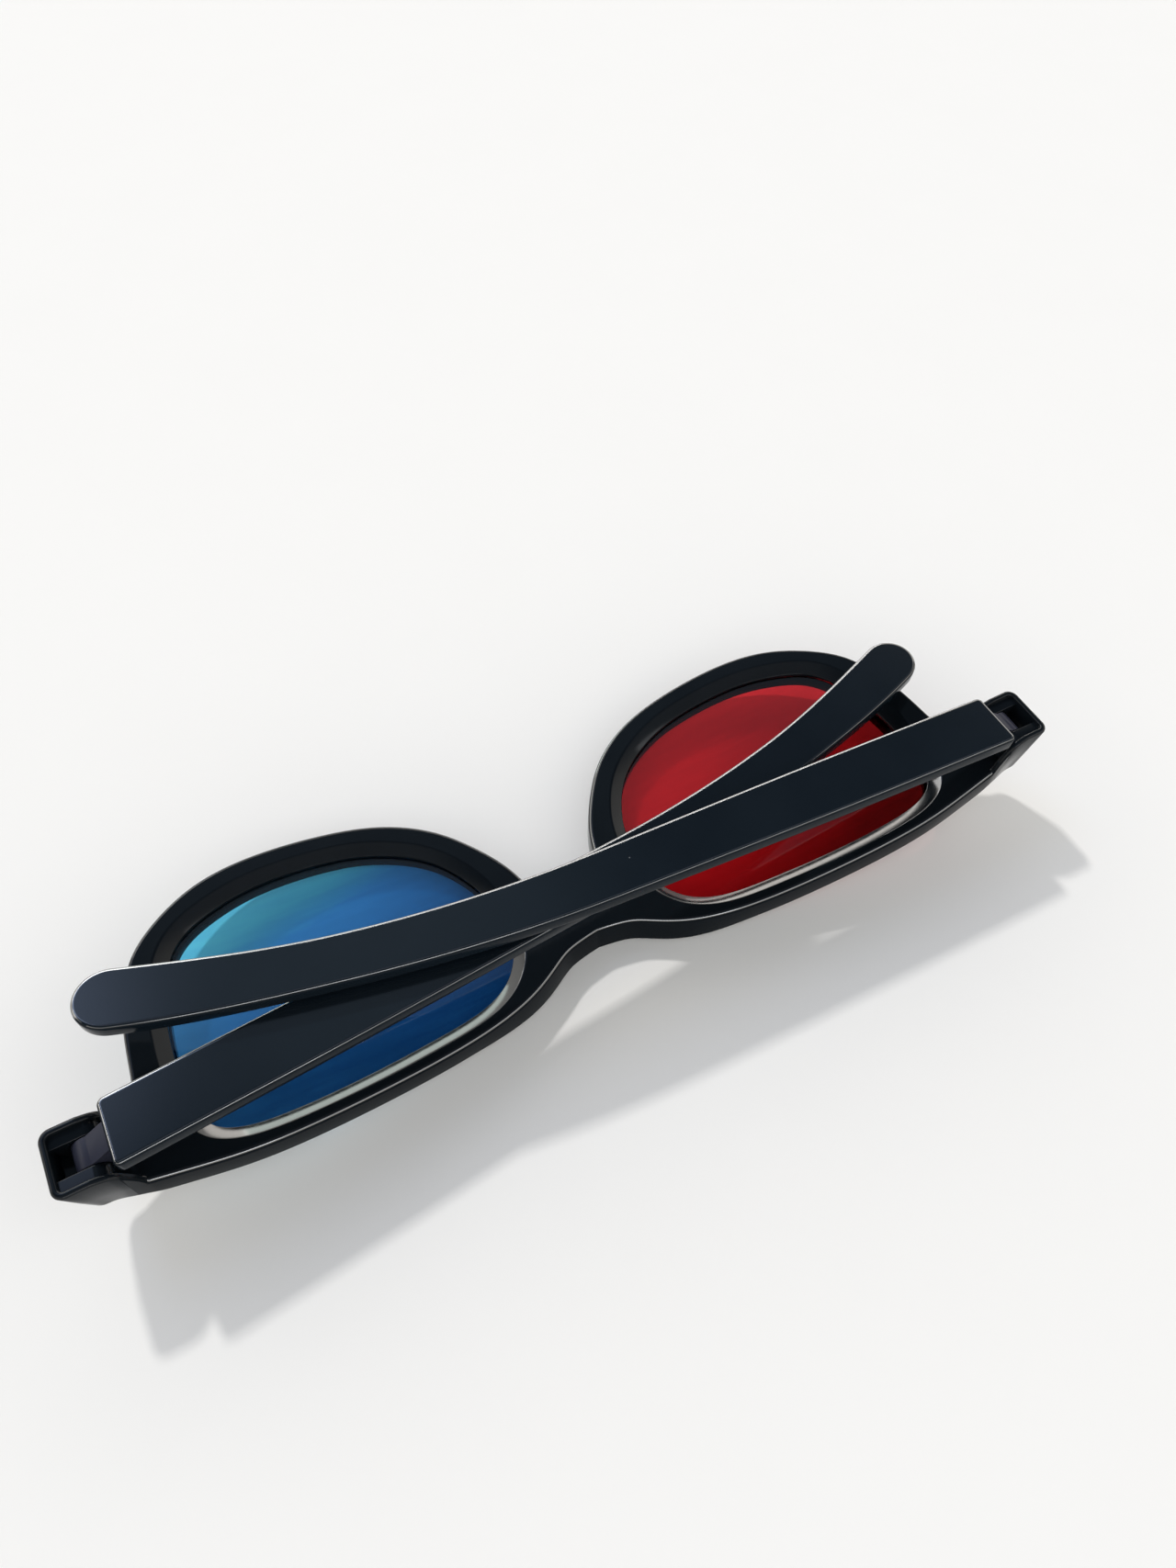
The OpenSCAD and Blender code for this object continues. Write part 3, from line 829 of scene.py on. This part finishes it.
def makeBlade(slope):
    clearSelection()
    points = templeOutline(slope)
    bpy.ops.mesh.primitive_circle_add(vertices=len(points), radius=temple["width"] * mm, fill_type="NGON")
    piece = bpy.context.object
    giveFinishes(piece, templeFinishes)
    for v, p in zip(piece.data.vertices, points):
        v.co = metres((p[0], p[1], temple["face"] - temple["thick"]))
    editMode("EDGE")
    bpy.ops.mesh.select_all(action="SELECT")
    extrudeBy(0, 0, temple["thick"])
    faceOutward()
    selectParts(piece, "edges", lambda e: any(len(f.verts) > 8 for f in e.link_faces))
    roundEdges(temple["edgeR"], 6)
    mesh = bmesh.from_edit_mesh(piece.data)
    low, high = temple["face"] - temple["thick"], temple["face"]
    for f in mesh.faces:
        if len(f.verts) > 4:  # the two flats keep the plain finish
            continue
        z = f.calc_center_median().z / mm
        onRound = min(z - low, high - z) < temple["edgeR"]
        finish = templeSide
        # bands of the rounds, picked by facing, that get the higher reflection for highlight lines
        if onRound and f.normal.x < 0.5 and f.normal.y > -0.2:
            finish = templeEdge
        elif onRound and 0.7 < abs(f.normal.z) < 0.85 and f.normal.y < -0.4:
            finish = templeCrest
        f.material_index = templeFinishes.index(finish)
    bmesh.update_edit_mesh(piece.data)
    bpy.ops.mesh.select_mode(type="FACE")
    selectParts(piece, "faces", lambda f: len(f.verts) > 8)
    bpy.ops.mesh.inset(thickness=temple["rimInset"] * mm)
    bpy.ops.object.mode_set(mode="OBJECT")
    return piece


def makeKnuckle():  # barrel round the pin, drawn out into a neck that runs into the temple
    clearSelection()
    bpy.ops.mesh.primitive_cylinder_add(vertices=64, radius=temple["knuckleR"] * mm,
                                        depth=temple["knuckleW"] * mm, rotation=(math.pi / 2, 0, 0))
    piece = bpy.context.object
    giveFinishes(piece, templeFinishes)
    bpy.ops.object.transform_apply(location=True, rotation=True, scale=True)
    editMode("FACE")
    selectParts(piece, "faces", lambda f: abs(f.normal.y) < 0.5 and f.normal.x < -0.05 and f.normal.z > -0.5)
    extrudeBy(-buttL, 0, 0)
    low = temple["face"] - temple["thick"] + temple["neckLow"]
    high = temple["face"] - temple["neckStep"]

    def layNeck(reach):
        mesh = bmesh.from_edit_mesh(piece.data)
        chosen = [v for v in mesh.verts if v.select]
        zs = [v.co.z for v in chosen]
        for v in chosen:
            k = (v.co.z - min(zs)) / (max(zs) - min(zs))
            v.co.x = -reach * mm
            v.co.z = (low + k * (high - low)) * mm
        bmesh.update_edit_mesh(piece.data)

    layNeck(buttL - temple["neckBack"])
    extrudeBy(-temple["neckRoot"], 0, 0)
    bpy.ops.mesh.select_mode(type="EDGE")
    selectParts(piece, "edges", lambda e: e.calc_face_angle(0) > math.radians(60)
                and e.verts[0].co.x > -buttL * mm)
    roundEdges(temple["knuckleEdgeR"], 3)
    bpy.ops.object.mode_set(mode="OBJECT")
    # painted sheen: the whole knuckle takes the lighter finish
    for face in piece.data.polygons:
        face.material_index = templeFinishes.index(knucklePlastic)
    return piece


def makeTemple(name, side, fold, slope, node):
    piece = joinPieces(makeBlade(math.radians(slope)), [makeKnuckle()])
    swing = Matrix.Rotation(math.radians(fold), 4, "Y")
    place = Matrix.Translation(metres((hingeX, hingeY, hingeZ))) @ swing
    mirror = Matrix.Scale(side, 4, Vector((1, 0, 0)))
    piece.data.transform(mirror @ place)
    pickPiece(piece)
    editMode("FACE")
    faceOutward()
    bpy.ops.object.mode_set(mode="OBJECT")
    finishPiece(piece, name, node, node, 50)


makeTemple("overTemple", 1, foldAngle, 2.3, "temple_left")
makeTemple("underTemple", -1, -foldAngle, 3.9, "temple_right")


# Stage, light and camera

stage = {"floorSize": 6, "floorDrop": 0.00002, "floor": (0.93, 0.926, 0.915), "toothScale": 40, "toothShade": 0.985,
         "band": (1.62, 1.55, 1.44), "topFar": (0.05, 0.06, 0.08), "topNear": (0.5, 0.54, 0.58),
         "window": (2, 1.95, 1.85), "keyDistance": 20, "stripDistance": 2,
         "patches": (((-0.25, 0.56, 0.79), (1.3, 1.6, 2.3)), ((0.1, 0.5, 0.86), (0.25, 0.32, 0.4)))}


def makeFloor():
    clearSelection()
    bpy.ops.mesh.primitive_plane_add(size=stage["floorSize"], location=(0, 0, -stage["floorDrop"]))
    floor = bpy.context.object
    floor.name = "floor"
    material, nodes, links, shader = newMaterial("paper")
    coords = nodes.new("ShaderNodeTexCoord").outputs["Object"]
    tooth = noise(nodes, links, coords, stage["toothScale"], 4)
    shade = tuple(stage["toothShade"] * c for c in stage["floor"])
    links.new(mixColour(nodes, links, tooth, shade, stage["floor"]), shader.inputs["Base Color"])
    shader.inputs["Roughness"].default_value = 0.85
    shader.inputs["IOR"].default_value = 1
    floor.data.materials.append(material)


def softbox(name, toward, distance, size, level, colour):  # toward points from the object to the lamp
    data = bpy.data.lights.new(name, "AREA")
    data.shape = "RECTANGLE"
    data.size, data.size_y = size
    data.energy = level * math.pi * size[0] * size[1]  # level is the lamp's own brightness
    data.color = colour
    lamp = bpy.data.objects.new(name, data)
    bpy.context.scene.collection.objects.link(lamp)
    direction = Vector(toward).normalized()
    lamp.location = direction * distance
    lamp.rotation_euler = direction.to_track_quat("Z", "Y").to_euler()
    return lamp


def makeRoom():  # pale walls to about 40 degrees up, dim ceiling, a low far window and two pale blue patches
    world = bpy.context.scene.world or bpy.data.worlds.new("room")
    bpy.context.scene.world = world
    world.use_nodes = True
    nodes, links = world.node_tree.nodes, world.node_tree.links
    toward = nodes.new("ShaderNodeTexCoord").outputs["Generated"]
    parts = nodes.new("ShaderNodeSeparateXYZ")
    links.new(toward, parts.inputs["Vector"])

    def smooth(source, low, high):
        result = mapRange(nodes, links, source, low, high, 0, 1)
        result.node.interpolation_type = "SMOOTHSTEP"
        return result

    top = mixColour(nodes, links, smooth(parts.outputs["Y"], 0.2, -0.4), stage["topFar"], stage["topNear"])
    colour = mixColour(nodes, links, smooth(parts.outputs["Z"], 0.4, 0.72), stage["band"], top)
    far, low = smooth(parts.outputs["Y"], 0.66, 0.8), smooth(parts.outputs["Z"], 0.42, 0.34)
    colour = mixColour(nodes, links, mathNode(nodes, links, "MULTIPLY", far, low), colour, stage["window"])
    for direction, tone in stage["patches"]:
        facing = alongWay(nodes, links, toward, Vector(direction).normalized())
        colour = mixColour(nodes, links, smooth(facing, 0.962, 0.995), colour, tone)
    links.new(colour, nodes["Background"].inputs["Color"])


makeFloor()
makeRoom()
key = softbox("keyBox", (-0.09, 0.715, 0.693), stage["keyDistance"], (1.1, 1.1), 437, (1, 0.975, 0.94))
key.visible_glossy = False
white, cool = (1, 1, 1), (0.95, 0.97, 1)
strips = [("farStrip", (0, 0.788, 0.616), (3, 0.14), 10, white),
          ("bevelStrip", (-0.14, 0.84, 0.52), (0.8, 0.36), 7.5, white),
          ("sideStrip", (-0.68, 0.394, 0.616), (0.5, 0.14), 9, white),
          ("lowLeft", (-0.04, 0.995, 0.07), (0.9, 0.3), 4.2, (0.84, 1, 0.93)),
          ("lowRight", (0.42, 0.9, 0.08), (1.1, 0.3), 4.6, (1, 0.94, 0.88)),
          ("nearLeft", (-0.2, -0.77, 0.61), (1.2, 0.3), 7, cool),
          ("nearRight", (0.44, -0.66, 0.61), (1.8, 0.3), 2.5, cool)]
for name, toward, size, level, colour in strips:  # these show only in reflections
    strip = softbox(name, toward, stage["stripDistance"], size, level, colour)
    strip.visible_diffuse = False
    strip.visible_transmission = False

camera = {"place": (-37.72, -69.69, 143.63), "turn": 31.0274, "tilt": 55.9656, "roll": -3.3748,
          "focalPixels": 1176.5, "imageHeight": 1707, "clipStart": 0.005}
turn, tilt, roll = [math.radians(camera[k]) for k in ("turn", "tilt", "roll")]
forward = Vector((math.cos(tilt) * math.sin(turn), math.cos(tilt) * math.cos(turn), -math.sin(tilt)))
right = Vector((math.cos(turn), -math.sin(turn), 0))
up = right.cross(forward)
imageRight = right * math.cos(roll) - up * math.sin(roll)
imageUp = right * math.sin(roll) + up * math.cos(roll)
cameraData = bpy.data.cameras.new("camera")
cameraData.lens = camera["focalPixels"] * cameraData.sensor_width / camera["imageHeight"]
cameraData.clip_start = camera["clipStart"]
eye = bpy.data.objects.new("camera", cameraData)
bpy.context.scene.collection.objects.link(eye)
axes = Matrix((imageRight, imageUp, -forward)).transposed().to_4x4()
eye.matrix_world = Matrix.Translation(metres(camera["place"])) @ axes
bpy.context.scene.camera = eye
bpy.context.scene.view_settings.view_transform = "Standard"
print("stage, light and camera ready")
